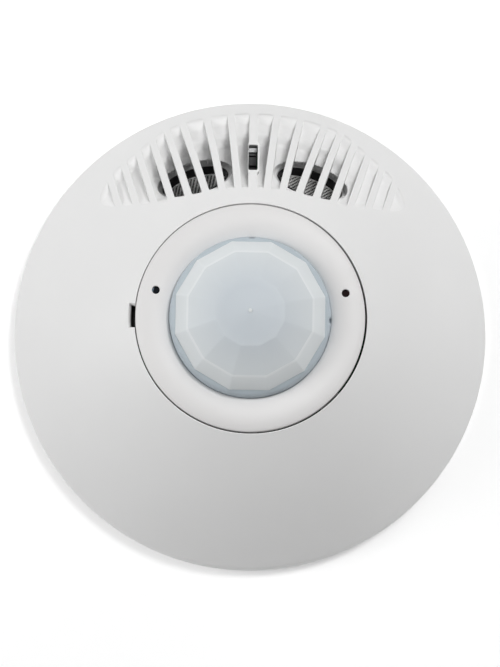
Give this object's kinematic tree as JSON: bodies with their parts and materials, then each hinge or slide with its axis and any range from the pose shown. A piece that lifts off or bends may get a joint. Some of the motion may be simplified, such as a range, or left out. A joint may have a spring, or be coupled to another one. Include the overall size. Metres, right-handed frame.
{
  "type": "ceiling motion sensor",
  "caption": "Round domed ceiling motion sensor: faceted infrared lens in a lift-off centre cover, ultrasonic transducers behind a crescent louvre, twist-lock mounting plate.",
  "frame": {"origin": "centre of the mounting plate's flat ceiling face; in use this face is turned up against a ceiling", "axes": "+Z out of the ceiling, the way the sensor looks; +Y towards the ultrasonic grille; +X to the right with the grille at the top"},
  "size_m": [0.1142, 0.1142, 0.0419],
  "materials": {
    "plate_white": "moulded, fine texture",
    "housing_white": "moulded, fine texture",
    "dome_white": "moulded, fine spark texture",
    "cover_white": "moulded, fine spark texture, slightly warm",
    "baffle_white": "moulded, smooth",
    "lens_milky": "translucent milky polyethylene",
    "retainer_white": "moulded",
    "board_green": "solder resist on glass fibre",
    "steel": "zinc plated",
    "nylon_grey": "nylon",
    "relay_black": "moulded case",
    "capacitor_sleeve": "shrink sleeve",
    "copper_winding": "enamelled wire",
    "terminal_green": "moulded",
    "chip_black": "epoxy",
    "pir_metal": "nickel plated",
    "pir_silicon": "coated silicon",
    "boot_rubber": "moulded rubber",
    "can_black": "black anodised",
    "mesh_wire": "woven wire",
    "cone_grey": "spun cone on a ceramic disc",
    "pin_gold": "plated",
    "sensor_black": "epoxy",
    "sensor_clear": "clear epoxy",
    "led_blue": "tinted clear epoxy",
    "led_red": "tinted epoxy",
    "trimmer_blue": "moulded",
    "rotor_white": "moulded",
    "switch_red": "moulded",
    "lever_white": "moulded"
  },
  "bodies": {
    "plate": {"mounting_plate": "plate_white"},
    "sensor": {"rear_housing": "housing_white", "housing_screws": "steel", "lead_bushing": "nylon_grey", "power_board": "board_green", "power_board_screws": "steel", "relay": "relay_black", "capacitor_a": "capacitor_sleeve", "capacitor_b": "capacitor_sleeve", "capacitor_c": "capacitor_sleeve", "choke": "copper_winding", "lead_terminal": "terminal_green", "terminal_screws": "steel", "timer_chip": "chip_black", "board_header": "chip_black", "sensor_board": "board_green", "sensor_board_screws": "steel", "control_chip": "chip_black", "amplifier_chip": "chip_black", "pir_base": "pir_metal", "pir_can": "pir_metal", "pir_window": "pir_silicon", "dome_cover": "dome_white", "acoustic_baffle": "baffle_white", "transducer_boot_left": "boot_rubber", "transducer_boot_right": "boot_rubber", "transducer_can_left": "can_black", "transducer_can_right": "can_black", "transducer_mesh_left": "mesh_wire", "transducer_mesh_right": "mesh_wire", "transducer_cone_left": "cone_grey", "transducer_cone_right": "cone_grey", "transducer_pins_left": "pin_gold", "transducer_pins_right": "pin_gold", "photocell_board": "board_green", "photocell_body": "sensor_black", "photocell_lens": "sensor_clear", "led_left": "led_blue", "led_right": "led_red", "trimmer_body_a": "trimmer_blue", "trimmer_body_b": "trimmer_blue", "trimmer_body_c": "trimmer_blue", "switch_body": "switch_red"},
    "cover": {"centre_cover": "cover_white", "lens": "lens_milky", "lens_retainer": "retainer_white", "light_pipe_left": "led_blue", "light_pipe_right": "led_red"},
    "trimmer_rotor_a": {"trimmer_rotor_a": "rotor_white"},
    "trimmer_rotor_b": {"trimmer_rotor_b": "rotor_white"},
    "trimmer_rotor_c": {"trimmer_rotor_c": "rotor_white"},
    "switch_lever_1": {"switch_lever_1": "lever_white"},
    "switch_lever_2": {"switch_lever_2": "lever_white"},
    "switch_lever_3": {"switch_lever_3": "lever_white"},
    "switch_lever_4": {"switch_lever_4": "lever_white"}
  },
  "joints": [
    {"name": "twist_lock", "type": "hinge", "parent": "plate", "child": "sensor", "pos_m": [0, 0, 0.0027], "axis": [0, 0, 1], "range_deg": [0, 24]},
    {"name": "cover_lift", "type": "slide", "parent": "sensor", "child": "cover", "axis": [0, 0, 1], "range_m": [0, 0.03]},
    {"name": "trimmer_a", "type": "hinge", "parent": "sensor", "child": "trimmer_rotor_a", "pos_m": [-0.014, -0.0125, 0.025], "axis": [0, 0, 1], "range_deg": [-135, 135]},
    {"name": "trimmer_b", "type": "hinge", "parent": "sensor", "child": "trimmer_rotor_b", "pos_m": [0, -0.0158, 0.025], "axis": [0, 0, 1], "range_deg": [-135, 135]},
    {"name": "trimmer_c", "type": "hinge", "parent": "sensor", "child": "trimmer_rotor_c", "pos_m": [0.014, -0.0125, 0.025], "axis": [0, 0, 1], "range_deg": [-135, 135]},
    {"name": "switch_1", "type": "slide", "parent": "sensor", "child": "switch_lever_1", "axis": [0, 1, 0], "range_m": [-0.0016, 0]},
    {"name": "switch_2", "type": "slide", "parent": "sensor", "child": "switch_lever_2", "axis": [0, 1, 0], "range_m": [0, 0.0016]},
    {"name": "switch_3", "type": "slide", "parent": "sensor", "child": "switch_lever_3", "axis": [0, 1, 0], "range_m": [-0.0016, 0]},
    {"name": "switch_4", "type": "slide", "parent": "sensor", "child": "switch_lever_4", "axis": [0, 1, 0], "range_m": [0, 0.0016]}
  ]
}
